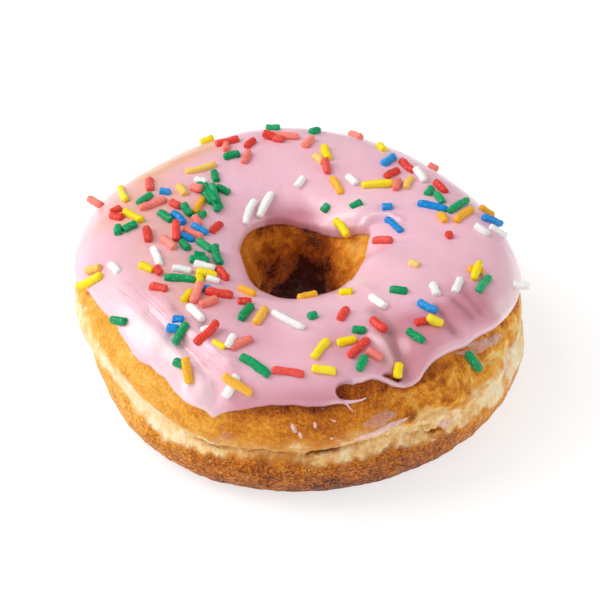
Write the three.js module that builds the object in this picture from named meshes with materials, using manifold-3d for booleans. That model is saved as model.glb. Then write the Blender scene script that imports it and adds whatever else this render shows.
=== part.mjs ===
// A raised ring doughnut with a poured icing and sprinkles, resting on its flat underside.
// Millimetres, +Z up. Azimuth is in degrees round the hole from +X, with 90 at the back.
// The profile angle goes round one section of the ring in degrees:
// 0 is the outermost side, 90 the top, 180 the side of the hole and 270 the bottom.

import * as THREE from 'three';
import { mergeVertices } from 'three/addons/utils/BufferGeometryUtils.js';
import Module from 'manifold-3d';

// ---------------------------------------------------------------- driving dimensions

const centring = { x: -0.3, y: -0.5 };        // moves the ring so that its box stands on the origin

const dough = {
  crown: 32.5,                          // radius of the ring's highest line
  top: 31, middle: 15, sink: 1.8,       // heights; sink is what the flat underside cuts off
  upper: 47.4, lower: 46.8, hole: 9.8,  // radii: above and below the seam, and of the hole
  squareTop: 0.8, squareLow: 0.72,      // powers of the section: 1 is an ellipse, less is squarer
  seam: { height: 15.5, depth: 1.6, half: 2.6 },   // pale waist where the two fried sides meet
};

// slow waves of the radii round the ring: [waves per turn, mm, azimuth of a crest]
const upperWaves = [[2, 1.2, -55], [3, 1.2, -28]];
const lowerWaves = [[1, 1.4, -12], [2, 0.6, -52], [3, 1.3, -4]];
const holeWaves = [[1, 0.7, 154], [2, 0.9, -77], [3, 0.6, 10]];

// soft swellings: [waves per turn, waves round the section, mm, azimuth of a crest]
const swellings = [[3, 2, 0.35, 40], [5, 3, 0.22, 200], [7, 1, 0.18, 110]];

// round dents (-) and humps (+): [azimuth, half width deg, profile angle, half height deg, mm]
const doughDents = [[299, 5, 48, 26, -2.2], [319, 4, 24, 20, -1.3], [155, 20, 16, 26, 2.2],
  [190, 16, 14, 18, 1.3], [2, 26, 172, 40, -1.3]];
const icingHumps = [[45, 20, 128, 16, 1.3], [246, 2.6, 30, 16, 0.9], [342, 16, 128, 16, 1.3],
  [185, 22, 136, 16, 0.8]];

const icing = { thickness: 1.7, gap: 0.35, roundness: 14 };

// where the icing ends, as [azimuth, profile angle], on the outer side and in the hole
const outerEdge = [[0, 24], [12, 30], [25, 26], [40, 36], [55, 30], [70, 38], [88, 27], [105, 35],
  [122, 28], [140, 33], [158, 24], [176, 20], [186, 26], [196, 40], [212, 46.5], [219, 42.5],
  [226, 38], [230.5, 37], [234.3, 35], [238.3, 28], [241.5, 24], [246, 24], [250, 23.5], [254, 27],
  [261, 35], [269, 38.5], [276, 37], [280, 39], [282.8, 40], [284.2, 54], [287, 55], [290, 56.5],
  [293, 53], [296, 46], [299, 42], [302, 43.5], [306, 52], [312, 55], [318, 53], [325, 50],
  [332, 44], [341, 37], [350, 31]];
const tip = { azimuth: 249.2, half: 1.5, drop: 5.5 };   // the pointed drip hangs this much lower, deg
const holeEdge = [[5, 139], [15, 134.5], [26, 128.5], [33, 134], [41, 141], [50, 145], [64, 147.5],
  [88, 147], [108, 144], [125, 143], [140, 142], [156, 144], [184, 143], [215, 146], [245, 143],
  [275, 147], [305, 144], [326, 139], [340, 137], [352, 139]];

const sprinkle = {
  radius: 0.9, sides: 5,
  proud: 0.3,                           // height of its axis over the icing
  stack: 1.2,                           // least distance between two axes
  long: 6,                              // from this length on, one that crosses others lies on them
};

// trails of sprinkles, as they fall from a shaken hand:
// [x, y, bearing, step mm, heading, turn, pieces], a piece being its colour's letter and its length.
// The first one lies at x, y in plan, and each next one a step further along the bearing and turned.
const trails = [
  [-6.4, 41.6, 0, 0, 165, 0, 'g3.3'], [-4.5, 36.9, 0, 0, 173, 0, 'p8'],
  [-7.2, 36.3, -25, 2.3, 170, 0, 'r3 r2.6'], [3.1, 40, 255, 5.8, 47, 16, 'g2.8 p4'],
  [12.4, 41, -49, 8.7, 105, 0, 'p5.8 y3.4'], [23.5, 26.7, -56, 4.8, 122, -4, 'r5.2 w4.4'],
  [19.5, 28.6, -84, 5.1, 56, -12, 'b4.7 r4.2'], [21, 19.4, 20, 2.7, 78, -8, 'p3.6 a4.3'],
  [16.8, 19.6, 0, 0, 5, 0, 'y7'], [11.3, 21.2, 0, 0, 126, 0, 'w3.3'],
  [29.6, 31.7, 0, 0, 157, 0, 'p2.4'], [5.6, 30.6, 0, 0, 100, 0, 'y5'], [4, 28.2, 0, 0, 125, 0, 'a3.2'],
  [5.6, 25.3, 0, 0, 100, 0, 'r4'], [8, 19.7, 0, 0, 111, 0, 'o5.4'], [-0.1, 21.2, 0, 0, 60, 0, 'w3'],
  [-11.1, 12.6, 39, 4.4, 83, -7, 'w6.8 w7'], [-21.3, 39.6, 0, 0, 5, 0, 'y3.3'],
  [-16.6, 35, -14, 5.3, 17, 40, 'r5.5 r3.5'], [-16.8, 32.4, 0, 0, 95, 0, 'p3'],
  [-15.4, 28.9, -10, 3.4, 20, 58, 'g3.7 p4.5'], [-22, 24.1, 0, 0, 24, 0, 'a7.3'],
  [-18.7, 21.2, 0, 0, 103, 0, 'g3.6'], [-20.6, 15.6, -30, 1.3, 118, -3, 'g7 g7.4 g6.5'],
  [-16.9, 17, 253, 4.9, 150, -35, 'g3.4 g4'], [-21.7, 19.5, 0, 0, 155, 0, 'w3'],
  [-22.5, 16.5, 0, 0, 150, 0, 'p3'], [-32.8, 18.6, 263, 5.6, 98, -45, 'r4.8 g4.5'],
  [-38.5, 17, 0, 0, 110, 0, 'y8.5'], [-29.3, 15.5, 11, 3.7, 170, -52, 'b2.3 a3.6'],
  [-31.6, 11.2, 0, 0, 34, 0, 'p6.5'], [-26.7, 11.3, -40, 3.1, 145, -15, 'r2.9 g3.2'],
  [-21.8, 11.6, -86, 3.2, 73, -31, 'o5.3 g3.4'], [-22.1, 6, 0, 0, 130, 0, 'p2.6'],
  [-28.6, 7, -6, 2.8, 134, -9, 'g4.1 b4.3'], [-39.3, 10, -82, 2.7, 15, -45, 'r2.6 r3.4'],
  [-35.4, 6.9, 0, 0, 138, 0, 'y5.8'], [-38.2, 2.3, 18, 2.5, 95, -58, 'g2.9 g3.3'],
  [-31.9, 0.3, 0, 0, 98, 0, 'r5'], [-21.3, 3.7, 235, 2.2, 151, 0, 'b4.1 p4.7 b3.7'],
  [-18, 5.7, 0, 0, 59, 0, 'r4.3'], [-26, 0.9, 248, 3.7, 95, 33, 'r5.2 p4.7'],
  [-23.9, -3, 0, 0, 120, 0, 'g3.2'], [-20.8, -6.2, -88, 1.6, 175, 13, 'g2.4 g4.1'],
  [-19.9, -2.3, -54, 4.1, 141, -31, 'g4.4 g5.3'], [-29.4, -7.5, 0, 0, 107, 0, 'w6.4'],
  [5.6, 14.5, 0, 0, 50, 0, 'g2'], [12.4, 13.1, -10, 6.5, 30, -30, 'g2.8 b2.3'],
  [9.4, 8.9, 0, 0, 113, 0, 'y5.4'], [20.1, 6.3, 238, 4.7, 122, 36, 'b6 r4.6'],
  [31.3, 1.1, 0, 0, 29, 0, 'r1.3'], [23.6, -9, 0, 0, 150, 0, 'a2.3'],
  [28, 17.1, -51, 3.2, 62, 50, 'g2.9 g3.8'], [30.5, 19, 0, 0, 118, 0, 'r4.6'],
  [28.4, 11.6, -65, 4.6, 158, -50, 'b6.7 o3.2'], [33.9, 12.1, -75, 3.5, 50, 1, 'g7.2 o6.4'],
  [40.3, 14.1, -78, 4.1, 12, 15, 'o3.9 b6.5'], [42, 6, 0, 0, 2, 0, 'w4.4'],
  [38.3, 3.9, 0, 0, 139, 0, 'w3.6'], [-42.5, -7.8, 258, 2.9, 165, 12, 'a4.3 y7.2'],
  [-37.8, -10.3, 0, 0, 125, 0, 'w4'], [-31.2, -11.3, -31, 2.9, 143, -3, 'y3.8 r2'],
  [-28.3, -17.9, 0, 0, 163, 0, 'r3.8'], [-24, -11.6, 22, 4.8, 168, 4, 'w4 w4.5'],
  [-19, -12.2, 18, 3.3, 178, -58, 'y4.3 r4.2'], [-24.2, -14.8, 0, 0, 176, 0, 'g6.3'],
  [-20.3, -14.7, -67, 3, 95, 75, 'y3 b2.4'], [-17.6, -14.2, 0, 0, 172, 0, 'w2.8'],
  [-22.3, -20.4, 16, 1.8, 63, 13, 'y3.7 p5.4'], [-16.1, -18.9, 239, 3.7, 178, 40, 'r5.7 p4.1'],
  [-10.6, -16.1, 266, 4.6, 146, 39, 'o4 r2.8'], [-20.4, -25.5, 0, 0, 126, 0, 'w5.2'],
  [-10.5, -24.5, -17, 3.1, 67, 4, 'g5.3 o5.5'], [-35.8, -24.5, 0, 0, 160, 0, 'g4.1'],
  [-23.7, -27.6, 246, 2.2, 172, -12, 'b2.3 b2.5'], [-23, -31.2, 0, 0, 62, 0, 'g5'],
  [-17.7, -30.3, 266, 1.5, 20, 27, 'w3 r6.4'], [-15.4, -34.4, 0, 0, 143, 0, 'y3'],
  [-13.1, -33.6, -8, 2, 75, -40, 'w3.6 p5'], [-2.1, -26.7, 0, 0, 141, 0, 'w8.2'],
  [2.7, -25, 0, 0, 30, 0, 'g1.9'], [-8.2, -38.9, 0, 0, 140, 0, 'g7'],
  [-1.9, -40.2, 5, 6.9, 172, 0, 'r6.3 y4.7'], [4.3, -34.9, 0, 0, 60, 0, 'y5.6'],
  [9.4, -32.7, 53, 4.1, 20, -25, 'y3.9 g2.7'], [8.8, -24.5, 0, 0, 70, 0, 'r4'],
  [15.7, -27.6, 0, 0, 128, 0, 'r4.3'], [11.7, -34.3, -80, 3.6, 51, 21, 'r6 g3.4'],
  [14.8, -35.6, 0, 0, 156, 0, 'p3.3'], [19.4, -37.1, 0, 0, 98, 0, 'y3.1'],
  [1.7, -14.9, 0, 0, 30, 0, 'o4.3'], [9.6, -15.5, 0, 0, 172, 0, 'y2.8'],
  [15.8, -20.3, 0, 0, 126, 0, 'w5'], [20.1, -17.2, -44, 7.6, 165, -22, 'g3.6 b4.5'],
  [24, -27, 0, 2.8, 20, -28, 'r2.3 y3.4'], [22.9, -30.7, 0, 0, 140, 0, 'g4.2'],
  [27.4, -17.1, 18, 4.9, 104, -32, 'w3.6 w4.4'], [36.1, -10.2, 264, 1, 175, -100, 'o3.3 y4.6'],
  [37.4, -13.9, 0, 0, 63, 0, 'g6'], [45, -9.4, 0, 0, 172, 0, 'w3.6'],
  [-23, -36.7, -40, 2.4, 150, -67, 'g2.4 o5.2'], [-12.7, -42, 0, 0, 62, 0, 'w5'],
  [-11.4, -42, 0, 0, 138, 0, 'o6.6'], [-44, 17.8, 0, 0, 140, 0, 'p4.2'],
];
const stray = { azimuth: 319, profile: 38, heading: 148, length: 5.5 };   // lies on the bare dough
const levelBeyond = 45;                 // a sprinkle this far out stands off the side, level

// azimuths of the facets, closer together along the ragged front edge, and profile angles of rows
const facets = { step: 5, fine: 2.5, from: 230, to: 310 };
const doughRows = [-58.7, -42, -26, -11, 0, 11, 26, 42, 60, 80, 100, 122, 144, 167, 190, 213, 238.7];
const icingRows = { top: 12, under: 6 };

// ---------------------------------------------------------------- form of the ring

const rad = Math.PI / 180;
const cosd = (a) => Math.cos(a * rad);
const sind = (a) => Math.sin(a * rad);
const round360 = (a) => ((a % 360) + 360) % 360;
const turn = (a, centre) => round360(a - centre + 180) - 180;
const power = (v, p) => Math.sign(v) * Math.abs(v) ** p;
const sum = (rows, term) => rows.reduce((total, row) => total + term(...row), 0);

function smooth(low, high, v) {
  const t = Math.min(Math.max((v - low) / (high - low), 0), 1);
  return t * t * (3 - 2 * t);
}

const waves = (azimuth, rows) => sum(rows, (n, mm, crest) => mm * cosd(n * (azimuth - crest)));

const humps = (azimuth, profile, rows) => sum(rows, (az, width, pr, height, mm) =>
  mm * Math.exp(-((turn(azimuth, az) / width) ** 2) - (turn(profile, pr) / height) ** 2));

// Radius and height of the dough's section: a superellipse with a notch at the seam.
function section(azimuth, profile) {
  const c = cosd(profile), s = sind(profile), up = smooth(-0.35, 0.35, s);
  const square = dough.squareLow + (dough.squareTop - dough.squareLow) * up;
  const low = dough.lower + waves(azimuth, lowerWaves);
  const outer = low + (dough.upper + waves(azimuth, upperWaves) - low) * up;
  const reach = c > 0 ? outer - dough.crown : dough.crown - dough.hole - waves(azimuth, holeWaves);
  const z = dough.middle + (s > 0 ? dough.top - dough.middle : dough.middle + dough.sink) * power(s, square);
  const notch = dough.seam.depth * Math.exp(-(((z - dough.seam.height) / dough.seam.half) ** 2));
  return [dough.crown + reach * power(c, square) - notch * Math.sqrt(Math.max(c, 0)), z];
}

// Point of the surface, lifted along the section's own normal by the swellings and by lift.
function surface(azimuth, profile, lift = 0) {
  const [radius, z] = section(azimuth, profile);
  const [r1, z1] = section(azimuth, profile + 1), [r0, z0] = section(azimuth, profile - 1);
  const dr = r1 - r0, dz = z1 - z0, span = Math.hypot(dr, dz) + 1e-9;
  const relief = humps(azimuth, profile, doughDents)
    + sum(swellings, (n, k, mm, crest) => mm * cosd(n * (azimuth - crest)) * cosd(k * profile));
  const rise = lift + relief * smooth(-0.7, 0.1, sind(profile));
  const out = radius + dz / span * rise;
  return new THREE.Vector3(out * cosd(azimuth), out * sind(azimuth), Math.max(z - dr / span * rise, 0));
}

// Smooth closed curve through knots of [azimuth, value].
function edge(azimuth, knots) {
  const at = round360(azimuth), n = knots.length;
  const i = (knots.findLastIndex(([k]) => k <= at) + n) % n;
  const [k0, k1, k2, k3] = [n - 1, 0, 1, 2].map((step) => knots[(i + step) % n]);
  const span = round360(k2[0] - k1[0]), t = round360(at - k1[0]) / span;
  const slope1 = (k2[1] - k0[1]) / round360(k2[0] - k0[0]) * span;
  const slope2 = (k3[1] - k1[1]) / round360(k3[0] - k1[0]) * span;
  return (2 * t ** 3 - 3 * t ** 2 + 1) * k1[1] + (t ** 3 - 2 * t ** 2 + t) * slope1
    + (3 * t ** 2 - 2 * t ** 3) * k2[1] + (t ** 3 - t ** 2) * slope2;
}

const outerEnd = (azimuth) => edge(azimuth, outerEdge)
  - tip.drop * Math.exp(-Math.abs(turn(azimuth, tip.azimuth)) / tip.half);

// Outside of the icing: u goes from its outer edge, 0, over the crown to its edge in the hole, 1.
function icingTop(azimuth, u) {
  const from = outerEnd(azimuth), profile = from + (edge(azimuth, holeEdge) - from) * u;
  const full = Math.sqrt(1 - Math.abs(2 * u - 1) ** icing.roundness);
  const rise = icing.thickness - icing.gap + humps(azimuth, profile, icingHumps);
  return surface(azimuth, profile, icing.gap + rise * full);
}

function icingUnder(azimuth, u) {
  const from = outerEnd(azimuth);
  return surface(azimuth, from + (edge(azimuth, holeEdge) - from) * u, icing.gap);
}

// ---------------------------------------------------------------- solids

// Closed ring from one loop of points at each azimuth; loop holds functions of the azimuth.
function ring(loop) {
  const position = [], index = [], rows = loop.length;
  const azimuths = [];
  for (let az = 0; az < 360; az += az >= facets.from && az < facets.to ? facets.fine : facets.step) {
    azimuths.push(az);
  }
  azimuths.forEach((azimuth, i) => {
    const next = (i + 1) % azimuths.length;
    loop.forEach((point, j) => {
      const above = (j + 1) % rows;
      const [a, b, c, d] = [i * rows + j, next * rows + j, next * rows + above, i * rows + above];
      position.push(...point(azimuth).toArray());
      index.push(a, b, c, a, c, d);
    });
  });
  const geometry = new THREE.BufferGeometry();
  geometry.setAttribute('position', new THREE.Float32BufferAttribute(position, 3));
  geometry.setIndex(index);
  return geometry;
}

const wasm = await Module();
wasm.setup();

function toSolid(geometry) {
  geometry.deleteAttribute('normal');
  geometry.deleteAttribute('uv');
  const merged = mergeVertices(geometry, 1e-5);
  return new wasm.Manifold(new wasm.Mesh({
    numProp: 3,
    vertProperties: new Float32Array(merged.attributes.position.array),
    triVerts: new Uint32Array(merged.index.array),
  }));
}

function toGeometry(solid) {
  const { vertProperties, triVerts } = solid.getMesh();
  const geometry = new THREE.BufferGeometry();
  geometry.setAttribute('position', new THREE.Float32BufferAttribute(vertProperties, 3));
  geometry.setIndex([...triVerts]);
  return geometry;
}

// ---------------------------------------------------------------- sprinkles

// Profile angle at which the icing's outside is a given distance from the axis.
function profileAt(azimuth, distance) {
  let low = edge(azimuth, outerEdge) + 6, high = edge(azimuth, holeEdge) - 5;
  for (let i = 0; i < 24; i += 1) {
    const mid = (low + high) / 2, { x, y } = surface(azimuth, mid, icing.thickness);
    if (Math.hypot(x, y) > distance) low = mid; else high = mid;
  }
  return (low + high) / 2;
}

// Outward normal of the surface, from its slopes along both angles.
function normalAt(azimuth, profile, lift) {
  const across = surface(azimuth + 1, profile, lift).sub(surface(azimuth - 1, profile, lift));
  const round = surface(azimuth, profile + 2, lift).sub(surface(azimuth, profile - 2, lift));
  return across.cross(round).normalize();
}

function layDown(azimuth, distance, heading, length, laid) {
  const profile = profileAt(azimuth, distance);
  const normal = normalAt(azimuth, profile, icing.thickness);
  const axis = new THREE.Vector3(cosd(heading), sind(heading), 0);
  const lift = icing.thickness + humps(azimuth, profile, icingHumps) + sprinkle.proud;
  const centre = surface(azimuth, profile, lift);
  if (distance > levelBeyond) centre.addScaledVector(normal, length / 4);
  else axis.addScaledVector(normal, -axis.dot(normal)).normalize();
  const piece = { centre, axis, length };
  const over = crossing(piece, normal, laid);
  if (over && length < sprinkle.long) return;     // short ones that would lie on others are left out
  if (over) {                           // one end stays on the icing, the rest lies across the other
    const rise = over.rise / (1 + Math.abs(over.along));
    centre.addScaledVector(normal, rise);
    axis.addScaledVector(normal, (over.along < 0 ? -2 : 2) * rise / length).normalize();
  }
  laid.push(piece);
}

// The nearest piece that this one would cut: where along this one, between its ends -1 and 1,
// and how far this one rises there to lie on it.
function crossing(piece, normal, laid) {
  const steps = Array.from({ length: 9 }, (_, i) => (i / 4 - 1) * 0.85);
  const on = (p, t) => p.centre.clone().addScaledVector(p.axis, t * p.length / 2);
  let nearest = sprinkle.stack, found = null;
  for (const other of laid) {
    for (const along of steps) {
      for (const t of steps) {
        const apart = on(other, t).sub(on(piece, along));
        if (apart.length() >= nearest) continue;
        nearest = apart.length();
        const up = apart.dot(normal), aside = apart.lengthSq() - up * up;
        found = { along, rise: up + Math.sqrt(Math.max(sprinkle.stack ** 2 - aside, 0)) };
      }
    }
  }
  return found;
}

function scatter() {
  const laid = [];
  for (const [x0, y0, bearing, step, heading, turned, pieces] of trails) {
    pieces.split(' ').forEach((piece, i) => {
      const x = x0 + i * step * cosd(bearing), y = y0 + i * step * sind(bearing);
      const length = Number(piece.slice(1));
      layDown(Math.atan2(y, x) / rad, Math.hypot(x, y), heading + i * turned, length, laid);
    });
  }
  return laid;
}

function sprinkleSolid({ centre, axis, length }) {
  const rod = new THREE.CylinderGeometry(sprinkle.radius, sprinkle.radius, length, sprinkle.sides);
  const upright = new THREE.Vector3(0, 1, 0);
  rod.applyQuaternion(new THREE.Quaternion().setFromUnitVectors(upright, axis));
  rod.translate(...centre.toArray());
  return toSolid(rod);
}

// ---------------------------------------------------------------- the two nodes

function makeDough() {
  const body = toSolid(ring(doughRows.map((profile) => (azimuth) => surface(azimuth, profile))));
  const { azimuth, profile, heading, length } = stray;
  const normal = normalAt(azimuth, profile, 0);
  const axis = new THREE.Vector3(cosd(heading), sind(heading), 0);
  axis.addScaledVector(normal, -axis.dot(normal)).normalize();
  const centre = surface(azimuth, profile, sprinkle.proud);
  return toGeometry(body.add(sprinkleSolid({ centre, axis, length })));
}

function makeIcing() {
  const { top, under } = icingRows;
  const overTop = Array.from({ length: top + 1 }, (_, j) => (azimuth) =>
    icingTop(azimuth, (1 - Math.cos(Math.PI * j / top)) / 2));
  const below = Array.from({ length: under - 1 }, (_, j) => (azimuth) =>
    icingUnder(azimuth, 1 - (j + 1) / under));
  const shell = toSolid(ring([...overTop, ...below]));
  return toGeometry(scatter().map(sprinkleSolid).reduce((solid, piece) => solid.add(piece), shell));
}

const crust = new THREE.MeshStandardMaterial({ color: 0xc98b45, roughness: 0.7, metalness: 0 });
const frosting = new THREE.MeshStandardMaterial({ color: 0xe3a6c2, roughness: 0.35, metalness: 0 });

const group = new THREE.Group();
group.position.set(centring.x, centring.y, 0);
for (const [name, geometry, material] of [['dough', makeDough(), crust], ['icing', makeIcing(), frosting]]) {
  geometry.computeVertexNormals();
  const mesh = new THREE.Mesh(geometry, material);
  mesh.name = name;
  group.add(mesh);
}

export default group;
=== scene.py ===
import math

import bpy
import numpy as np
from mathutils import Matrix, Vector


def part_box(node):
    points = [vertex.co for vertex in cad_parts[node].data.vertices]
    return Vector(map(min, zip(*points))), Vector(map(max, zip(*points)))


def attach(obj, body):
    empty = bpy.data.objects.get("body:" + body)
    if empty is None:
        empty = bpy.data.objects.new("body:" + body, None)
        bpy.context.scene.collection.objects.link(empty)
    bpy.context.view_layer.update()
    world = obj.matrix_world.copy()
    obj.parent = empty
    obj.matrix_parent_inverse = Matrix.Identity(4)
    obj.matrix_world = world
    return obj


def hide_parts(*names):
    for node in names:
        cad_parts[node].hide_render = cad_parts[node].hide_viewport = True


# A ring doughnut with a poured icing and sprinkles. Shapes are worked out in millimetres round the
# middle of the ring. Azimuth is in degrees round the hole from +X, with 90 at the back.
# The profile angle goes round one section of the ring: 0 outermost, 90 top, 180 hole, 270 bottom.

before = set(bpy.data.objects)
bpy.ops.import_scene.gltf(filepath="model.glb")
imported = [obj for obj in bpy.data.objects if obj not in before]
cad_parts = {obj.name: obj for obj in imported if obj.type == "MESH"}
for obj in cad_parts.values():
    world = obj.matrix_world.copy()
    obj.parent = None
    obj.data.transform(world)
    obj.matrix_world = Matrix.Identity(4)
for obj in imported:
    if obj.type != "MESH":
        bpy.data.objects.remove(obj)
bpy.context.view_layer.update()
print("frame loaded:", ", ".join(sorted(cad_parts)))


def cosd(angle):
    return np.cos(np.radians(angle))


def sind(angle):
    return np.sin(np.radians(angle))


def turned(angle, centre):  # angle − centre, in −180…180
    return (angle - centre + 180) % 360 - 180


def smooth(low, high, v):  # t²(3 − 2t), where t goes from 0 at low to 1 at high
    t = np.clip((v - low) / (high - low), 0, 1)
    return t * t * (3 - 2 * t)


def bell(v, centre, half):  # e^−((v − centre) / half)²
    return np.exp(-((v - centre) / half) ** 2)


def window(v, start, full, fall, end):  # 0…1 up, 1…0 down
    return smooth(start, full, v) * smooth(end, fall, v)


def length(v):
    return np.linalg.norm(v, axis=-1)


def unit(v):
    return v / length(v)[..., None]


def around(azimuth, knots):
    # closed cubic curve through (azimuth, value) knots, sloping as their neighbours do
    k = np.array(knots, float)
    at = np.asarray(azimuth, float) % 360
    i = np.searchsorted(k[:, 0], at, side="right") - 1
    before, here, there, after = [k[(i + step) % len(k)] for step in (-1, 0, 1, 2)]
    span = (there[..., 0] - here[..., 0]) % 360
    t = ((at - here[..., 0]) % 360) / span
    slope1 = (there[..., 1] - before[..., 1]) / ((there[..., 0] - before[..., 0]) % 360) * span
    slope2 = (after[..., 1] - here[..., 1]) / ((after[..., 0] - here[..., 0]) % 360) * span
    return ((2 * t**3 - 3 * t**2 + 1) * here[..., 1] + (t**3 - 2 * t**2 + t) * slope1
            + (3 * t**2 - 2 * t**3) * there[..., 1] + (t**3 - t**2) * slope2)


def lattice(cell, seed):  # one fixed number of −1…1 for a cell and a seed
    h = (cell[..., 0] * 73856093) ^ (cell[..., 1] * 19349663) ^ (cell[..., 2] * 83492791) ^ (seed * 40503)
    h = ((h ^ (h >> 15)) * 668265263) & 0xFFFFFFFF
    h = ((h ^ (h >> 13)) * 374761393) & 0xFFFFFFFF
    return ((h ^ (h >> 16)) & 0xFFFF) / 32767.5 - 1


def noise(place, size, seed, octaves=1, gain=0.5):
    # gradient noise of about −1…1: the slopes of the eight cell corners times the way to the place,
    # blended by t³(6t² − 15t + 10); each octave is half the size
    total = 0
    for octave in range(octaves):
        q = place / size * 2**octave + 31.7 * (octave + 1)
        cell = np.floor(q).astype(np.int64)
        f = q - cell
        w = f**3 * (f * (f * 6 - 15) + 10)
        for corner in np.ndindex(2, 2, 2):
            weight = np.prod(np.where(corner, w, 1 - w), axis=-1)
            slopes = [lattice(cell + corner, seed * 7 + octave * 3 + axis) for axis in range(3)]
            total = total + 1.5 * gain**octave * weight * sum(
                slope * (f[..., axis] - corner[axis]) for axis, slope in enumerate(slopes))
    return total


def layers(place, rows):  # sum of mm·noise
    return sum(mm * noise(place, size, seed, octaves) for mm, size, seed, octaves in rows)


def along(azimuth, mmPerDegree=0.8):  # places for a noise round the ring
    return np.stack([azimuth * mmPerDegree, 0 * azimuth, 0 * azimuth], -1)


def stroke(place, path, half):
    # e^−(distance / half)², with the distance from a line through plan points (x, y)
    nearest = np.full(place.shape[:-1], 1e9)
    for (x0, y0), (x1, y1) in zip(path, path[1:]):
        dx, dy = x1 - x0, y1 - y0
        px, py = place[..., 0] - x0, place[..., 1] - y0
        t = np.clip((px * dx + py * dy) / (dx * dx + dy * dy), 0, 1)
        nearest = np.minimum(nearest, np.hypot(px - t * dx, py - t * dy))
    return bell(nearest, 0, half)


ring = {
    "crown": 32.5,  # radius of the ring's highest line
    "top": 31, "middle": 15, "sink": 1.8,
    "upper": 47.4, "lower": 46.8, "hole": 9.8,
    "squareTop": 0.8, "squareLow": 0.72,
    "seamDepth": 1.6, "seamHalf": 2.6,  # the pale waist where the two fried sides meet
    "seam": [(0, 15.5), (60, 15.5), (150, 15.5), (205, 15.5), (234, 13.4), (246, 13.2), (258, 14),
             (270, 15.1), (284, 16.4), (293, 16.6), (304, 15), (318, 14.4), (333, 13.6), (345, 14.6)],
    "upperWaves": [(2, 1.2, -55), (3, 1.2, -28)],
    "lowerWaves": [(1, 1.4, -12), (2, 0.6, -52), (3, 1.3, -4)],
    "holeWaves": [(1, 0.7, 154), (2, 0.9, -77), (3, 0.6, 10)],
    "swellings": [(3, 2, 0.35, 40), (5, 3, 0.22, 200), (7, 1, 0.18, 110)],
    "feet": (-58.7, 238.7),  # profile angles where the section meets the floor
    "closer": 0.35,  # how much closer the columns of a piece stand in front
    "dents": [(299, 5, 48, 26, -2.2), (319, 4, 24, 20, -1.3), (155, 20, 16, 26, 2.2),
              (190, 16, 14, 18, 1.3), (2, 26, 172, 40, -1.3)],
}

icing = {
    "thickness": 1.7,
    "sunk": 0.25, "underSunk": 0.5,  # how far its rim and its underside lie in the crust
    "bead": 0.3, "beadWide": 0.9,  # the thicker lip that the poured icing ends in
    "rounded": 5,  # mm from the edge at which it has its full thickness
    "humps": [(45, 20, 128, 16, 1.3), (246, 2.6, 30, 16, 0.9), (342, 16, 128, 16, 1.3),
              (185, 22, 136, 16, 0.8)],
    "tip": (249.2, 1.5, 5.5),  # the pointed drip: azimuth, half width, how many degrees lower
    "outer": [(0, 24), (12, 30), (25, 26), (40, 36), (55, 30), (70, 38), (88, 27), (105, 35), (122, 28),
              (140, 33), (158, 24), (176, 20), (186, 26), (196, 40), (212, 46.5), (219, 42.5), (226, 38),
              (230.5, 37), (234.3, 35), (238.3, 28), (241.5, 24), (246, 24), (250, 23.5), (254, 27),
              (261, 35), (269, 38.5), (276, 37), (280, 39), (282.2, 40), (285.1, 54), (287, 55),
              (290, 56.5), (293, 53), (296, 46), (299, 42), (302, 43.5), (306, 52), (312, 55), (318, 53),
              (325, 50), (332, 44), (341, 37), (350, 31)],
    "hole": [(5, 139), (15, 134.5), (26, 128.5), (33, 134), (41, 141), (50, 145), (64, 147.5), (88, 147),
             (108, 144), (125, 143), (140, 142), (156, 144), (184, 143), (215, 146), (245, 143),
             (275, 147), (305, 144), (326, 139), (340, 137), (352, 139)],
}


def waves(azimuth, rows):  # sum of mm·cos(n·(azimuth − crest))
    return sum(mm * cosd(n * (azimuth - crest)) for n, mm, crest in rows)


def tip(azimuth):  # degrees·e^(−|azimuth − at| / half)
    at, half, degrees = icing["tip"]
    return degrees * np.exp(-np.abs(turned(azimuth, at)) / half)


def humps(azimuth, profile, rows):  # sum of mm·bell across azimuth·bell across profile
    return sum(mm * bell(turned(azimuth, az), 0, width) * bell(turned(profile, pr), 0, height)
               for az, width, pr, height, mm in rows)


def section(azimuth, profile):
    # radius = crown + reach·cos^p, height = middle + rise·sin^p, less the notch at the seam
    c, s = cosd(profile), sind(profile)
    up = smooth(-0.35, 0.35, s)
    square = ring["squareLow"] + (ring["squareTop"] - ring["squareLow"]) * up
    low = ring["lower"] + waves(azimuth, ring["lowerWaves"])
    outer = low + (ring["upper"] + waves(azimuth, ring["upperWaves"]) - low) * up
    inward = ring["crown"] - ring["hole"] - waves(azimuth, ring["holeWaves"])
    reach = np.where(c > 0, outer - ring["crown"], inward)
    rise = np.where(s > 0, ring["top"] - ring["middle"], ring["middle"] + ring["sink"])
    z = ring["middle"] + rise * np.sign(s) * np.abs(s) ** square
    notch = ring["seamDepth"] * bell(z, around(azimuth, ring["seam"]), ring["seamHalf"])
    radius = ring["crown"] + reach * np.sign(c) * np.abs(c) ** square
    return radius - notch * np.sqrt(np.maximum(c, 0)), z


def surface(azimuth, profile, lift=0):
    # point of the section, moved out along its own normal by the swellings, the dents and lift
    azimuth, profile = np.asarray(azimuth, float), np.asarray(profile, float)
    radius, z = section(azimuth, profile)
    r1, z1 = section(azimuth, profile + 1)
    r0, z0 = section(azimuth, profile - 1)
    dr, dz = r1 - r0, z1 - z0
    span = np.hypot(dr, dz) + 1e-9
    relief = humps(azimuth, profile, ring["dents"])
    relief = relief + sum(mm * cosd(n * (azimuth - crest)) * cosd(k * profile)
                          for n, k, mm, crest in ring["swellings"])
    rise = lift + relief * smooth(-0.7, 0.1, sind(profile))
    out = radius + dz / span * rise
    return np.stack([out * cosd(azimuth), out * sind(azimuth), np.maximum(z - dr / span * rise, 0)], -1)


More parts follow.
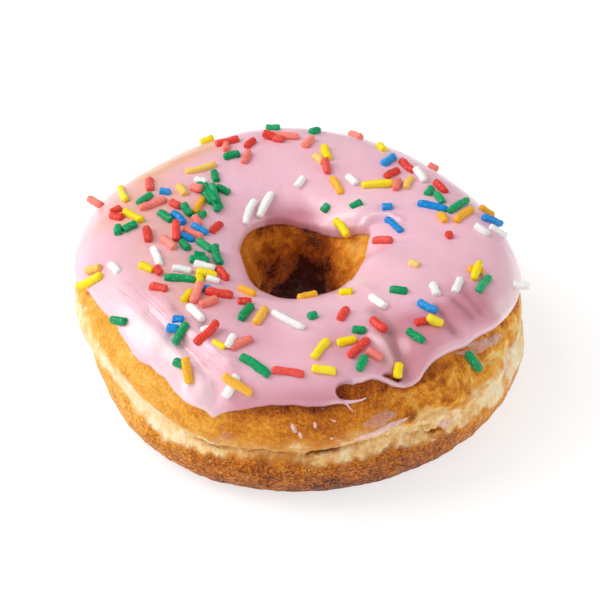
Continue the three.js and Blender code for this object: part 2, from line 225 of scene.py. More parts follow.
def normalAt(azimuth, profile, lift=0):
    # slope along the azimuth × slope along the profile angle, brought to length 1
    across = surface(azimuth + 1, profile, lift) - surface(azimuth - 1, profile, lift)
    upward = surface(azimuth, profile + 2, lift) - surface(azimuth, profile - 2, lift)
    return unit(np.cross(across, upward))


def spacedAzimuths(count):  # up to twice as close in front as behind
    fine = np.linspace(0, 360, 3601)
    run = fine + ring["closer"] * np.degrees(sind(fine - 270) - 1)
    return np.interp(np.arange(count) * 360 / count, run, fine)


def spacedRows(azimuth, low, high, count, weight):
    # profile angles at equal steps of arc length·weight
    fine = np.linspace(low, high, 4001)
    middle = (fine[1:] + fine[:-1]) / 2
    step = length(np.diff(surface(azimuth, fine), axis=0)) * weight(middle)
    run = np.concatenate([[0], np.cumsum(step)])
    return np.interp(np.linspace(0, run[-1], count), run, fine)


def ringFaces(columns, rows):  # quads of a grid closed both ways
    i, j = np.meshgrid(np.arange(columns), np.arange(rows), indexing="ij")
    nextI, nextJ = (i + 1) % columns, (j + 1) % rows
    corners = [i * rows + j, nextI * rows + j, nextI * rows + nextJ, i * rows + nextJ]
    return np.stack(corners, -1).reshape(-1, 4).tolist()


def podFaces(pods, rings, sides):
    # faces of closed bodies, each of rings × sides points and then two end points
    k, side = np.meshgrid(np.arange(rings - 1), np.arange(sides), indexing="ij")
    turn = (side + 1) % sides
    here, there = k * sides, (k + 1) * sides
    quads = np.stack([here + side, there + side, there + turn, here + turn], -1)
    side, turn, count = side[0], turn[0], rings * sides
    last = count - sides
    first = np.stack([side, turn, 0 * side + count], -1)
    final = np.stack([last + turn, last + side, 0 * side + count + 1], -1)
    start = np.arange(pods)[:, None, None] * (count + 2)
    quads = (quads.reshape(1, -1, 4) + start).reshape(-1, 4)
    ends = (np.concatenate([first, final])[None] + start).reshape(-1, 3)
    return quads.tolist() + ends.tolist()


# the ring's middle, placed so that its box has the same centre in plan as the CAD dough's box
cadLow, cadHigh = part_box("dough")
planAzimuths, planProfiles = np.arange(0, 360, 5), np.linspace(ring["feet"][0], 60, 40)
planPoints = surface(planAzimuths[:, None], planProfiles[None])[..., :2].reshape(-1, 2)
boxCentre = (planPoints.min(0) + planPoints.max(0)) / 2
ringMiddle = np.array([(cadLow.x + cadHigh.x) / 2, (cadLow.y + cadHigh.y) / 2, 0])
ringMiddle = ringMiddle - [*boxCentre / 1000, 0]


def addObject(name, data):
    made = bpy.data.objects.new(name, data)
    bpy.context.scene.collection.objects.link(made)
    return made


def addPiece(name, points, faces, slot, finish, **attributes):
    # one mesh of points in mm, with a value for each point under each attribute
    mesh = bpy.data.meshes.new(name)
    metres = np.reshape(points, (-1, 3)) / 1000 + ringMiddle
    mesh.from_pydata(metres.tolist(), [], faces)
    for title, values in attributes.items():
        layer = mesh.attributes.new(title, "FLOAT", "POINT")
        layer.data.foreach_set("value", np.ravel(values).astype(np.float32))
    mesh.materials.append(finish)
    mesh.shade_smooth()
    mesh.update()
    piece = addObject(name, mesh)
    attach(piece, "root")
    print(name, len(mesh.polygons), "faces")
    return piece


def paint(red, green, blue):  # c / 12.92, or ((c + 0.055) / 1.055)^2.4 above 0.04045, with c = seen / 255
    seen = np.array([red, green, blue]) / 255
    linear = np.where(seen <= 0.04045, seen / 12.92, ((seen + 0.055) / 1.055) ** 2.4)
    return (*linear.tolist(), 1.0)


class Shade:  # a socket; arithmetic on it adds Math nodes
    def __init__(self, finish, socket):
        self.finish = finish
        self.socket = socket

    def math(self, operation, *values, clamp=False):
        settings = {"operation": operation, "use_clamp": clamp}
        return self.finish.node("Math", settings, dict(enumerate(values)))

    def __add__(self, other):
        return self.math("ADD", self, other)

    __radd__ = __add__

    def __sub__(self, other):
        return self.math("SUBTRACT", self, other)

    def __rsub__(self, other):
        return self.math("SUBTRACT", other, self)

    def __mul__(self, other):
        return self.math("MULTIPLY", self, other)

    __rmul__ = __mul__

    def clamp(self):
        return self.math("MULTIPLY", self, 1.0, clamp=True)

    def step(self, low, high):  # 0 below low, 1 above high, smooth between
        return self.finish.node("MapRange", {"interpolation_type": "SMOOTHSTEP"},
                                {"Value": self, "From Min": low, "From Max": high})


class Finish:  # a material whose nodes are all made by node()
    def __init__(self, name, **shader):
        self.material = bpy.data.materials.new(name)
        self.material.use_nodes = True
        self.nodes, self.links = self.material.node_tree.nodes, self.material.node_tree.links
        self.shader = self.nodes["Principled BSDF"]
        for socket, value in shader.items():
            self.shader.inputs[socket.replace("_", " ")].default_value = value
        self.place = self.node("TexCoord", {}, {}, "Object")

    def node(self, kind, settings, inputs, output=0):
        made = self.nodes.new("ShaderNode" + kind)
        for key, value in settings.items():
            if key == "stops":
                while len(made.color_ramp.elements) < len(value):
                    made.color_ramp.elements.new(0.5)
                for element, (position, colour) in zip(made.color_ramp.elements, value):
                    element.position = position
                    element.color = colour
            else:
                setattr(made, key, value)
        for key, value in inputs.items():
            if isinstance(value, Shade):
                self.links.new(value.socket, made.inputs[key])
            else:
                made.inputs[key].default_value = value
        return Shade(self, made.outputs[output])

    def attribute(self, name):
        return self.node("Attribute", {"attribute_name": name}, {}, "Fac")

    def noise(self, mm, detail=2.0, roughness=0.5, place=None):
        return self.node("TexNoise", {}, {"Vector": place or self.place, "Scale": 1000 / mm,
                                          "Detail": detail, "Roughness": roughness})

    def cells(self, mm):
        return self.node("TexVoronoi", {}, {"Vector": self.place, "Scale": 1000 / mm}, "Distance")

    def mix(self, share, one, other):  # colours as Shades or three numbers
        one, other = (each if isinstance(each, Shade) else paint(*each) for each in (one, other))
        return self.node("Mix", {"data_type": "RGBA"}, {0: share, 6: one, 7: other}, 2)

    def ramp(self, value, rows):  # rows of position and colour
        stops = [(position, paint(*colour)) for position, *colour in rows]
        return self.node("ValToRGB", {"stops": stops}, {"Fac": value}, "Color")

    def bump(self, height, mm, strength):
        inputs = {"Height": height, "Distance": mm / 1000, "Strength": strength}
        return self.node("Bump", {}, inputs, "Normal")

    def feed(self, **sockets):  # links values to the shader's own sockets
        for socket, value in sockets.items():
            self.links.new(value.socket, self.shader.inputs[socket.replace("_", " ")])
        return self.material


def crustFinish():
    finish = Finish("friedCrust", Specular_IOR_Level=0.13, Coat_Roughness=0.25, Coat_IOR=1.4,
                    Subsurface_Weight=0.1, Subsurface_Scale=0.0012, Subsurface_Radius=(1.0, 0.5, 0.2))
    # the first attribute carries the baking and also painted shade: under the icing, far down in the hole,
    # in the crack and in the pits
    bake, band, grain, pale = map(finish.attribute, ("bake", "band", "grain", "pale"))
    broad, middle = finish.noise(6, 3) - 0.5, finish.noise(2.2, 3) - 0.5
    fine, sand = finish.noise(0.7, 4, 0.7) - 0.5, finish.noise(0.36, 2) - 0.5
    cells = finish.cells(0.75)
    rough = grain * 0.8 + 0.35
    tone = bake + broad * 0.26 + middle * 0.28 + fine * 1.45 * rough + (cells - 0.45) * 0.2 * grain
    bakedAndShaded = finish.ramp(tone, crust["bakedAndShaded"])
    crumb = finish.ramp(pale + broad * 0.5 + middle * 0.6 + fine * 1.1, crust["crumb"])
    broken = band * 1.5 - 0.25 + broad * 0.6 + middle * 0.8 + fine * 1.6
    # pale flecks, partly pale grains and partly painted highlights, kept out of the darkest tones; they also
    # take a glossy coat
    grainsAndGlints = (sand + fine * 0.6).step(0.12, 0.22) * (grain * 0.8 + 0.15) * (1 - tone.step(1.0, 1.15))
    colour = finish.mix(grainsAndGlints * 0.7, finish.mix(broken, bakedAndShaded, crumb), crust["grainGlintColour"])
    height = fine * (0.7 + 0.7 * grain) + cells * 0.3 * grain + middle * 0.5 + sand * 0.6
    return finish.feed(Base_Color=colour, Roughness=0.6 - 0.15 * grain + fine * 0.4,
                       Coat_Weight=grainsAndGlints * 0.6, Normal=finish.bump(height, 0.4, 0.9))


def icingFinish():
    finish = Finish("pinkIcing", Specular_IOR_Level=0.5, Coat_Weight=0.7, Coat_IOR=1.5, Coat_Roughness=0.2,
                    Subsurface_Weight=0.3, Subsurface_Scale=0.0018, Subsurface_Radius=(1.0, 0.45, 0.5))
    warm, deep, light, hollow, brushed = map(finish.attribute, drape["shades"])
    broad, middle = finish.noise(9, 2) - 0.5, finish.noise(2.6, 3) - 0.5
    fine = finish.noise(0.5, 3) - 0.5
    # a deeper pink where shade falls, as painted shade, with a little everywhere by noise
    colour = finish.mix(deep + broad * 0.4 + 0.1, (247, 196, 212), (208, 134, 150))
    colour = finish.mix(warm + broad * 0.8 * warm, colour, (238, 172, 132))
    # paler pink patches and the thin edge at the right: painted highlight
    colour = finish.mix(light + middle * 0.8 * light, colour, (253, 224, 227))
    # darker in the valleys: painted shade
    colour = finish.mix(hollow + middle * 0.3 * hollow, colour, (164, 100, 102))
    # brushed streaks are a noise drawn out along the strokes
    strokes = finish.node("Mapping", {"vector_type": "TEXTURE"}, {
        "Vector": finish.place, "Rotation": (0, 0, math.radians(-52)), "Scale": (16, 1, 1)})
    streaks = finish.noise(0.7, 3, 0.6, place=strokes) - 0.5
    # darker lines along the streaks: painted shade of their relief
    colour = finish.mix(streaks * 2.0 * brushed, colour, (188, 128, 136))
    height = streaks * brushed * 1.3 + fine * 0.1 + middle * 0.3
    return finish.feed(Base_Color=colour, Roughness=0.4 + fine * 0.2, Normal=finish.bump(height, 0.25, 0.7))


crust = {
    "columns": 560, "rows": 158, "under": 16,
    # colours of the browned crust by tone, whose darkest end also paints the shade far down in the hole, of
    # the open crumb by paleness, and of the pale flecks, which are partly pale grains and partly painted
    # highlights
    "bakedAndShaded": [(0, 255, 226, 160), (0.2, 252, 194, 92), (0.4, 240, 161, 48), (0.6, 208, 120, 26),
              (0.78, 164, 80, 12), (0.92, 128, 52, 4), (1, 66, 10, 0)],
    "crumb": [(0, 212, 142, 68), (0.35, 236, 180, 108), (0.7, 253, 218, 158), (1, 255, 240, 206)],
    "grainGlintColour": (255, 216, 140),
    # where the outer side, the hole's wall, the relief, the torn front and the crinkled right start,
    # are full, fade and end: the first three by profile angle, the others by azimuth
    "side": (-56, -44, 40, 75), "wall": (100, 140, 215, 232), "embossed": (-58.5, -50, 228, 238.5),
    "front": (236, 244, 304, 316), "right": (286, 300, 342, 356),
    "swells": [(0.34, 9, 11, 1), (0.18, 3.8, 12, 1), (0.07, 1.3, 13, 2)],
    "curves": ("bandTop", "bandLow", "crack", "bakeUp", "bakeLow", "pale", "soft", "patchy", "bakeHole"),
    # where the pale band starts and ends, as heights by azimuth
    "bandTop": [(0, 22), (60, 20), (120, 20), (170, 21), (196, 23), (204, 23), (212, 21.8), (222, 20.8),
                (229, 18), (236, 15), (246, 14.6), (256, 17), (268, 18), (281, 19.5), (294, 20.5),
                (305, 20), (318, 18.8), (333, 20), (345, 20.5)],
    "bandLow": [(0, 11), (60, 12), (120, 12), (170, 13), (204, 14.2), (212, 14.6), (222, 12.8), (230, 11),
                (236, 10.2), (246, 11), (256, 12.2), (268, 12.6), (281, 12.8), (294, 13.7), (305, 12.2),
                (318, 11.4), (333, 9.2), (345, 10)],
    # crack that runs along the band in front
    "crack": [(0, 13), (180, 13), (234, 13.9), (242, 13), (247, 12.9), (254, 14), (262, 14.9), (272, 15),
              (280, 15.7), (289, 16.8), (293, 17.2), (298, 15.3), (304, 14), (312, 13), (330, 13)],
    "crackDepth": 0.9, "crackHalf": 0.34,
    # baking by azimuth of the upper and the lower crust, from 0 pale gold to 1 dark brown
    "bakeUp": [(0, 0.4), (60, 0.42), (130, 0.42), (190, 0.31), (212, 0.31), (222, 0.36), (234, 0.35),
               (246, 0.38), (256, 0.51), (268, 0.57), (281, 0.62), (294, 0.6), (305, 0.53), (318, 0.5),
               (333, 0.38)],
    "bakeLow": [(0, 0.5), (60, 0.55), (130, 0.5), (190, 0.32), (204, 0.33), (222, 0.42), (234, 0.52),
                (246, 0.64), (256, 0.7), (268, 0.74), (281, 0.76), (294, 0.75), (305, 0.72), (318, 0.62),
                (333, 0.5), (345, 0.46)],
    # how pale the band's crumb is, and how softly it meets the upper crust
    "pale": [(0, 0.6), (60, 0.5), (120, 0.6), (196, 0.75), (232, 0.85), (246, 0.65), (256, 0.35),
             (268, 0.3), (281, 0.5), (294, 0.6), (318, 0.7), (333, 0.95), (345, 0.85)],
    "soft": [(0, 2.5), (120, 2.5), (200, 1.4), (230, 1.5), (246, 2.2), (258, 3.2), (290, 3.2), (330, 3)],
    # how much of the band is broken up by baked patches
    "patchy": [(0, 0.7), (60, 0.3), (120, 0.2), (190, 0.1), (234, 0.2), (256, 0.6), (281, 0.65),
               (296, 0.8), (320, 0.9), (333, 0.8), (345, 0.8)],
    # baking of the hole's wall by azimuth
    "bakeHole": [(0, 0.6), (18, 0.46), (27, 0.45), (36, 0.53), (50, 0.72), (64, 0.83), (88, 0.85),
                 (100, 0.72), (118, 0.67), (132, 0.65), (142, 0.56), (180, 0.64), (270, 0.8), (340, 0.6)],
}


def crustFields(azimuth, profile, place):
    # relief in mm = swells + wrinkles + torn + lip − crack − creases − pits, and the colour fields
    z = place[..., 2]
    line = along(azimuth)
    at = {title: around(azimuth, crust[title]) for title in crust["curves"]}
    side, wall = window(profile, *crust["side"]), window(profile, *crust["wall"])
    front, right = window(azimuth, *crust["front"]), window(azimuth, *crust["right"]) * side
    upright = place * [1, 1, 0.3]
    bent = place + 1.8 * np.stack([noise(place, 5, 30 + axis) for axis in range(3)], -1)
    # the pale band between two ragged heights, with baked patches in it
    top, low = at["bandTop"] + 0.9 * noise(line, 6, 22, 3), at["bandLow"] + 0.6 * noise(line, 4, 23, 3)
    ragged = 0.7 * noise(place, 2.4, 26, 3, 0.6)
    band = smooth(-1.2, 1.2, z - low + ragged) * smooth(at["soft"], -at["soft"], z - top + ragged) * side
    band = band * (1 - at["patchy"] * smooth(-0.15, 0.5, noise(place, 6.5, 53, 3)))
    pale = at["pale"] + 0.22 * noise(upright, 1.5, 27, 2) * side
    # the crack, the lip above it and the torn patches beside it
    crackZ = at["crack"] + 0.55 * noise(line, 2.2, 21, 4, 0.6)
    crack = bell(z, crackZ, crust["crackHalf"]) * front * smooth(-0.55, 0.1, noise(line, 7, 24))
    lip = window(z - crackZ, -0.1, 0.4, 0.5, 3.5) * front
    torn = bell(azimuth, 299, 7) * bell(z, crackZ, 2.4) + 0.6 * bell(azimuth, 322, 10) * bell(z, 17, 4.5)
    torn = torn + 0.35 * bell(z, crackZ, 1.6) * front
    # creases lie where a bent noise is near 0
    lines = bell(noise(bent, 8.5, 34), 0, 0.09) + 0.6 * bell(noise(bent, 4.8, 35), 0, 0.08)
    crease = lines * (right * smooth(12, 15, z) + 0.1 * side + 0.5 * wall * bell(turned(azimuth, 28), 0, 20))
    wrinkles = noise(bent, 2.4, 36, 4, 0.6) * (right * smooth(11, 15, z) + 0.4 * torn)
    pits = smooth(0.1, 0.5, noise(place, 2.2, 43, 3)) * bell(turned(azimuth, 122), 0, 30) * wall
    grain = (0.3 + 0.6 * smooth(2, -2, z - low)) * side + 0.06
    relief = layers(place, crust["swells"]) + 0.3 * right * noise(upright, 5, 16, 2) + 0.34 * wrinkles
    relief = relief + 0.12 * grain * noise(place, 1.4, 14, 2) + 0.4 * torn * noise(place, 1.2, 15, 2)
    relief = relief + (0.5 * noise(upright, 3.2, 41, 3) + 0.3 * noise(place, 1.6, 44, 2)) * wall - 0.5 * pits
    relief = relief - crust["crackDepth"] * crack + 0.28 * lip - 0.6 * crease
    relief = relief * window(profile, *crust["embossed"])
    # more baking low down; darker near the icing in front, which is partly baking and partly painted shade
    # under the icing; darkest down in the hole and low on its back-right wall, which is painted shade
    edge = sum(around(azimuth + shift, icing["outer"]) for shift in (-8, -4, 0, 4, 8)) / 5
    nearIcing = smooth(11, 1, edge - profile) * smooth(246, 262, azimuth)
    # painted shade under the icing in front, partly darker crust
    upper = at["bakeUp"] + 0.08 * smooth(21, 27, z) * front + 0.2 * nearIcing * side
    outside = at["bakeLow"] + (upper - at["bakeLow"]) * smooth(10, 18, z) + 0.12 * smooth(9, 3, z)
    # painted shade in the hole: darkest low down towards the back, also low on the back-right wall, and more
    # the lower it is
    coreShade = smooth(21.5, 17, z + 0.3 * np.abs(turned(azimuth, 82)) + 1.6 * noise(bent, 3.4, 46, 2))
    footShade = smooth(24.5, 19, z) * bell(turned(azimuth, 35), 0, 28)
    inside = at["bakeHole"] + 0.34 * coreShade + 0.3 * footShade * (1 - coreShade) + 0.12 * smooth(22, 9, z)
    inside = inside - 0.1 * noise(bent, 2.6, 45, 3) * wall
    bake = outside * side + inside * (1 - side)
    # darker in the crack and the pits, with no pale crumb in the crack: painted shade; paler along the
    # creases and varied with the wrinkles
    bake = bake + 0.11 * noise(place, 5, 52, 3) + 0.3 * crack + 0.12 * pits - 0.32 * crease - 0.26 * wrinkles
    band = np.clip(band + 0.5 * torn + 0.18 * crease * right - 0.7 * crack, 0, 1)
    return relief, {"bake": bake, "band": band, "grain": grain, "pale": pale}


def crustSurface(azimuth, profile):
    # point of the crust with its relief
    place = surface(azimuth, profile)
    relief, fields = crustFields(azimuth, profile, place)
    place = place + normalAt(azimuth, profile) * relief[..., None]
    place[..., 2] = np.maximum(place[..., 2], 0)
    return place, fields


def makeDough():
    def weight(profile):
        under = window(profile, 36, 50, 116, 128)  # wide rows where the icing hides it
        return (1 + 0.9 * bell(profile, 0, 9)) * (1 - 0.78 * under) * (1 - 0.25 * smooth(120, 150, profile))

    azimuths = spacedAzimuths(crust["columns"])
    profiles = spacedRows(270, *ring["feet"], crust["rows"], weight)
    azimuth, profile = np.meshgrid(azimuths, profiles, indexing="ij")
    sides, fields = crustSurface(azimuth, profile)
    # the underside is flat, with shallow pores
    t = (np.arange(crust["under"]) + 1) / (crust["under"] + 1)
    flat = sides[:, -1:] * (1 - t[:, None]) + sides[:, :1] * t[:, None]
    flat[..., 2] = 0.35 * smooth(0.05, 0.7, noise(flat, 3.5, 61, 2)) * np.minimum(1, 6 * t * (1 - t))
    points = np.concatenate([sides, flat], 1)
    zero = 0 * flat[..., 2]
    bottom = {"bake": 0.62 + 0.15 * noise(flat, 7, 62, 2), "band": zero, "grain": zero + 0.7, "pale": zero}
    joined = {title: np.concatenate([fields[title], bottom[title]], 1) for title in fields}
    faces = ringFaces(crust["columns"], crust["rows"] + crust["under"])
    piece = addPiece("doughCrust", points, faces, "crust", crustFinish(), **joined)
    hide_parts("dough")


drape = {
    "columns": 640, "rows": 122, "under": 26,
    # folds of the poured icing: plan points of a line, its half width and its height
    "folds": [
        ([(-29.5, -24.5), (-22, -33), (-15, -41)], 1.0, -0.5),
        ([(-28, -21), (-20.5, -29.5), (-13.5, -37.5)], 1.6, 0.55),
        ([(-24.2, -28), (-19, -32.5), (-12, -38.1)], 1.1, 0.4),
        ([(-24.8, -30.5), (-18.4, -36.8), (-13, -41)], 0.9, -0.3),
        ([(-20.6, -39.2), (-18.8, -41.6), (-16.9, -44)], 0.9, 0.8),
        ([(-23, -40), (-20, -43.4)], 1.0, -0.35), ([(-36.5, -10), (-33, -21), (-27, -30)], 2.2, 0.4),
        ([(14.4, -29.4), (16.5, -32.2), (17.7, -34.5), (18.8, -35.7)], 1.3, 0.75),
        ([(29.6, -19.6), (31, -22.9), (32.4, -25.6)], 1.0, 0.3),
        ([(14.6, 8.4), (15.4, 9.6), (16.8, 10.3), (19.6, 10), (21.9, 8)], 0.7, 0.55),
        ([(13.9, 5), (14.5, 7.2), (16.2, 8.5), (19, 8.4)], 0.7, -0.5),
        ([(19.5, 1.4), (21.5, 0.9), (23.4, 1.6)], 0.8, -0.25),
        ([(5, 11.4), (9.7, 12.6), (13, 11.5)], 2.6, 0.5), ([(15.6, 4.2), (19.5, 5.4)], 2.6, 0.45),
        ([(9.6, -8.4), (12.4, -12.4), (14.6, -16)], 1.4, 0.35),
    ],
    # valleys with painted shade in them: the same, with how dark the painted shade is
    "valleys": [
        ([(15.6, -23), (17.2, -25.6), (18.4, -28.3), (19, -31.1), (19.4, -34), (19.6, -36.2)],
         1.8, -0.8, 0.6),
        ([(27.6, -21.8), (29, -24.8), (30.3, -27.6)], 0.95, -0.5, 0.6),
        ([(31.1, -19.4), (32.8, -21.3), (34, -22.9)], 0.9, -0.45, 0.55),
        ([(33.4, -17.4), (35, -19.6), (36, -21.4)], 0.8, -0.35, 0.35),
        ([(-20, -26.2), (-17.4, -30.2)], 1.0, -0.3, 0.5),
        ([(-24.6, -24.4), (-21.6, -28.2)], 0.9, -0.2, 0.35),
    ],
    # a window in the icing and a bite out of its edge: azimuth, half width, profile, half height and
    # slope, and how far the top and the underside sink into the crust there
    "gaps": [(295.7, 2.4, 54.4, 3.4, -1.0), (282.9, 2.9, 48.7, 7.3, -0.4)],
    "gapSunk": (1.0, 1.4),
    # patches of painted highlight, of painted shade in a deeper pink, and of warmer icing: plan points, half
    # width and share
    "light": [([(-38.5, -13), (-34, -23)], 3.2, 0.3),
              ([(-31, -27), (-25, -33.5), (-17.6, -41)], 2.8, 0.62),
              ([(-8.6, 12.2), (-12, 7.6), (-13, 2), (-12, -3)], 1.2, 0.5),
              ([(8.5, 12.4), (12.5, 13.6)], 3.4, 0.6), ([(45, -1), (43.6, -11), (40.6, -18)], 2.2, 0.7),
              ([(16, -32), (18, -35)], 1.3, 0.5), ([(14.6, 8.6), (16.6, 10.4), (19.6, 10.2)], 0.6, 0.5),
              ([(9.6, -8.8), (12.6, -12)], 2, 0.5)],
    "deep": [([(9, -33.6), (18, -31), (26.5, -27), (36.8, -18)], 6, 0.6), ([(18, -37), (25, -34)], 4, 0.5),
             ([(-11, -44), (8, -44)], 3, 0.75), ([(-6, 13.6), (0, 14.4), (5, 13), (8.4, 10.8)], 2.7, 1.15),
             ([(-22, -7), (-17, -20), (-8, -31)], 5, 0.35),
             ([(20, -27), (28, -25), (34.6, -19)], 3.4, 0.45)],
    "warm": [([(-38, 8), (-31, 29), (-23, 37)], 6, 0.6),
             ([(-34, 23), (-31.4, 26.3), (-25.1, 30.3), (-21.4, 33.3)], 2.6, 0.75),
             ([(-27, 12), (-30, -6), (-22, -20)], 6, 0.4), ([(12, -13), (13, -12)], 3, 0.3)],
    "brushed": ([(-33, -18), (-25, -27), (-16, -37)], 5),
    "shades": ("warm", "deep", "light", "hollow", "brushed"),
    "swells": [(0.24, 12, 71, 1), (0.1, 4.5, 72, 2)],
    "pimples": 60, "pimpleSeed": 5, "pimpleHigh": 0.12,
    "wavy": (1.2, 1.6, 222, 16),  # degrees of waviness of the edge, and how many more round an azimuth
    # the thin edge there gets painted highlight
    "lipHighlight": (275, 280, 335, 350),  # azimuths of the thin bright edge at the right
    "crowded": 0.55,  # how much the rows crowd towards both edges
}


def gapShare(azimuth, profile):  # 1 inside a gap, 0 outside
    share = 0
    for az, halfAz, pr, halfPr, slope in drape["gaps"]:
        across = turned(azimuth, az)
        apart = np.hypot(across / halfAz, (profile - pr - slope * across) / halfPr)
        share = np.maximum(share, smooth(1.25, 0.85, apart))
    return share


def icingFields(place):
    # relief in mm = swells + folds + valleys + pimples, and the colour fields
    relief = layers(place, drape["swells"])
    for path, half, height in drape["folds"]:
        relief = relief + height * stroke(place, path, half)
    # the valleys dent the icing and also take painted shade
    hollow = 0
    for path, half, height, dark in drape["valleys"]:
        valley = stroke(place, path, half)
        relief = relief + height * valley
        hollow = hollow + dark * valley
    dice = np.random.default_rng(drape["pimpleSeed"])
    for _ in range(drape["pimples"]):
        az, out, half = dice.uniform(0, 360), dice.uniform(20, 43), dice.uniform(0.22, 0.45)
        apart = np.hypot(place[..., 0] - out * cosd(az), place[..., 1] - out * sind(az))
        relief = relief + drape["pimpleHigh"] * bell(apart, 0, half)
    fields = {kind: sum(share * stroke(place, path, half) for path, half, share in drape[kind])
              for kind in ("light", "deep", "warm")}
    return relief, {**fields, "hollow": hollow, "brushed": stroke(place, *drape["brushed"])}


def makeIcing():
    # a skin over the crust, thickness·√(1 − (1 − rim / rounded)³), and one sunk in it, joined at both edges
    columns, rows, under = drape["columns"], drape["rows"], drape["under"]
    azimuths = spacedAzimuths(columns)
    least, more, at, half = drape["wavy"]
    ragged = (least + more * bell(turned(azimuths, at), 0, half)) * noise(along(azimuths), 4.5, 81, 3)
    start = (around(azimuths, icing["outer"]) - tip(azimuths) + ragged)[:, None]
    end = (around(azimuths, icing["hole"]) + 0.5 * noise(along(azimuths), 3, 82, 2))[:, None]
    turns = np.linspace(0, math.pi, rows)
    u = (1 - np.cos(turns)) / 2 * drape["crowded"] + turns / math.pi * (1 - drape["crowded"])
    azimuth = np.repeat(azimuths[:, None], rows, 1)
    profile = start + (end - start) * u
    base = surface(azimuth, profile)
    steps = length(np.diff(base, axis=1))
    run = np.concatenate([np.zeros((columns, 1)), np.cumsum(steps, 1)], 1)
    nearby = [length(base - np.roll(base[:, :1], shift, 0)) for shift in range(-12, 13)]
    rim = np.minimum(np.min(nearby, axis=0), run[:, -1:] - run)  # mm from the icing's edge
    relief, fields = icingFields(base)
    # painted highlight along the thin edge at the right
    fields["light"] = fields["light"] + 0.4 * bell(rim, 0.5, 0.35) * window(azimuth, *drape["lipHighlight"])
    full = np.sqrt(1 - (1 - np.clip(rim / icing["rounded"], 0, 1)) ** 3)
    bead = icing["bead"] * bell(rim, 1.2, icing["beadWide"])
    rise = icing["thickness"] + humps(azimuth, profile, icing["humps"]) + relief + bead
    gap = gapShare(azimuth, profile)
    gapTop, gapUnder = drape["gapSunk"]
    lift = (-icing["sunk"] + (icing["sunk"] + rise) * full) * (1 - gap) - gapTop * gap
    top = surface(azimuth, profile, lift)
    v = 1 - (np.arange(under) + 1) / (under + 1)
    below = start + (end - start) * v[None]
    lowAzimuth = np.repeat(azimuths[:, None], under, 1)
    bottom = surface(lowAzimuth, below, -icing["underSunk"] - gapUnder * gapShare(lowAzimuth, below))
    points = np.concatenate([top, bottom], 1)
    zero = np.zeros((columns, under))
    joined = {title: np.concatenate([values, zero], 1) for title, values in fields.items()}
    faces = ringFaces(columns, rows + under)
    piece = addPiece("icingDrape", points, faces, "icing", icingFinish(), **joined)
    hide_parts("icing")


threads = {
    "rings": 22, "sides": 8,
    # strings of icing on the crust, by stations of azimuth, profile and radius
    "strings": [
        [(279.8, 43, 0.4), (281.4, 41, 0.45), (283.2, 40.3, 0.36), (285, 40.4, 0.25), (286.5, 41, 0.18),
         (287.4, 42, 0.12)],
        [(281.6, 40.4, 0.35), (282.4, 38.4, 0.22), (282.9, 35.5, 0.15), (283.6, 32.5, 0.1)],
        [(291.6, 57.5, 0.3), (293, 56, 0.45), (294.3, 53, 0.5), (296, 49, 0.52), (298.4, 45.4, 0.5),
         (301, 43.6, 0.35)],
    ],
}


def makeThreads():
    # tubes on the crust: place and radius run evenly from station to station
    rings, sides = threads["rings"], threads["sides"]
    angle = np.arange(sides) * 2 * math.pi / sides
    points = []
    for stations in threads["strings"]:
        rows = np.array(stations)
        at = np.linspace(0, len(rows) - 1, rings)
        azimuth, profile, radius = (np.interp(at, np.arange(len(rows)), rows[:, k]) for k in range(3))
        normal = normalAt(azimuth, profile)
        spine = surface(azimuth, profile) + normal * (0.35 * radius)[:, None]
        aside = np.cross(unit(np.gradient(spine, axis=0)), normal)
        spokes = aside[:, None] * np.cos(angle)[:, None] + normal[:, None] * np.sin(angle)[:, None]
        body = spine[:, None] + spokes * radius[:, None, None]
        points.append(np.concatenate([body.reshape(-1, 3), spine[[0, -1]]]))
    zero = np.zeros(len(points) * (rings * sides + 2))
    faces = podFaces(len(points), rings, sides)
    plain = dict.fromkeys(drape["shades"], zero)
    addPiece("icingThreads", points, faces, "icing", icingFinish(), **plain)


